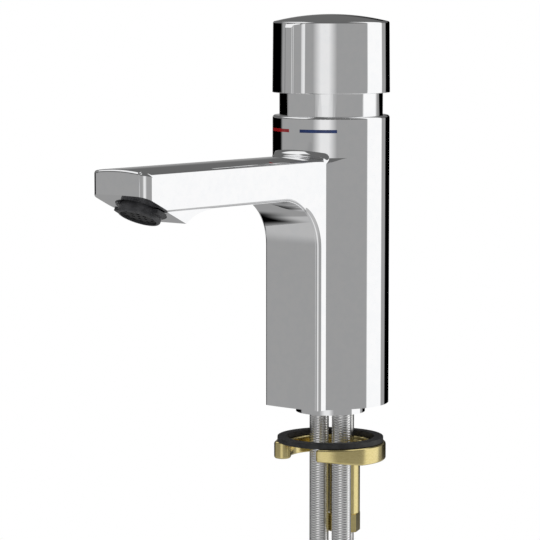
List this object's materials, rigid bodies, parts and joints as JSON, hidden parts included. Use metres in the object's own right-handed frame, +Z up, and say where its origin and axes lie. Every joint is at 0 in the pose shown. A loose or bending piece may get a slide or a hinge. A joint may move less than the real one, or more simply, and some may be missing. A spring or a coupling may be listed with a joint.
{
  "type": "basin mixer tap",
  "caption": "Self-closing single-hole basin mixer tap with a turn-and-press cap, straight flat spout, braided hoses and a stud clamp.",
  "frame": {"origin": "on the column's axis, level with the deck's upper face", "axes": "+Z up along the column, -Y along the spout, +X to the right as the user looks along +Y"},
  "size_m": [0.0505, 0.1528, 0.5055],
  "materials": {
    "chrome": "polished chrome plating",
    "red_enamel": "dark red enamel",
    "blue_enamel": "dark blue enamel",
    "pale_plastic": "moulded",
    "steel": "bright stainless steel",
    "rubber": "moulded rubber",
    "ceramic": "lapped ceramic",
    "brass": "satin cast and turned",
    "dark_plastic": "satin moulded",
    "braid": "fine stainless braid",
    "nickel": "nickel-plated brass"
  },
  "bodies": {
    "tap": {"tap_body": "chrome", "hot_mark": "red_enamel", "cold_mark": "blue_enamel", "neck_sleeve": "chrome", "spindle_seal": "rubber", "return_spring": "steel", "fixed_disc": "ceramic", "inlet_seals": "rubber", "cartridge_housing": "brass", "housing_seals": "rubber", "clamp_ring": "brass", "aerator_housing": "dark_plastic", "aerator_insert": "dark_plastic", "aerator_seal": "rubber", "foot_insert": "chrome", "base_seal": "rubber", "mounting_stud": "steel", "hot_inlet_fitting": "brass", "hot_upper_ferrule": "steel", "hot_hose": "braid", "hot_lower_ferrule": "steel", "hot_tail": "brass", "cold_inlet_fitting": "brass", "cold_upper_ferrule": "steel", "cold_hose": "braid", "cold_lower_ferrule": "steel", "cold_tail": "brass", "union_seals": "rubber", "inlet_strainers": "steel"},
    "mixer": {"mixing_rotor": "pale_plastic", "turning_disc": "ceramic"},
    "plunger": {"push_cap": "chrome", "cap_carrier": "pale_plastic", "cap_grub_screw": "steel", "carrier_screw": "steel", "spindle": "steel", "piston": "pale_plastic", "piston_seal": "rubber"},
    "clamp": {"clamp_bracket": "brass", "deck_gasket": "rubber"},
    "nut": {"sleeve_nut": "brass"},
    "hot_nut": {"hot_union_nut": "nickel"},
    "cold_nut": {"cold_union_nut": "nickel"}
  },
  "joints": [
    {"name": "cap_turn", "type": "hinge", "parent": "tap", "child": "mixer", "pos_m": [0, 0, 0], "axis": [0, 0, 1], "range_deg": [-45, 45]},
    {"name": "cap_press", "type": "slide", "parent": "mixer", "child": "plunger", "axis": [0, 0, -1], "range_m": [0, 0.006], "stiffness_N_per_m": 1500, "springref_m": -0.008, "deforming": ["return_spring"]},
    {"name": "clamp_slide", "type": "slide", "parent": "tap", "child": "clamp", "axis": [0, 0, 1], "range_m": [-0.02, 0.0125]},
    {"name": "nut_turn", "type": "hinge", "parent": "clamp", "child": "nut", "pos_m": [0, 0.0095, 0], "axis": [0, 0, 1], "range_deg": [-5765, 3605]},
    {"name": "hot_nut_turn", "type": "hinge", "parent": "tap", "child": "hot_nut", "pos_m": [-0.014, 0.002, -0.34], "axis": [0, 0, 1], "continuous": true},
    {"name": "cold_nut_turn", "type": "hinge", "parent": "tap", "child": "cold_nut", "pos_m": [0.0145, -0.001, -0.34], "axis": [0, 0, 1], "continuous": true}
  ],
  "couplings": [
    {"joint": "nut_turn", "follows": "clamp_slide", "rad_per_m": 5026.5}
  ]
}
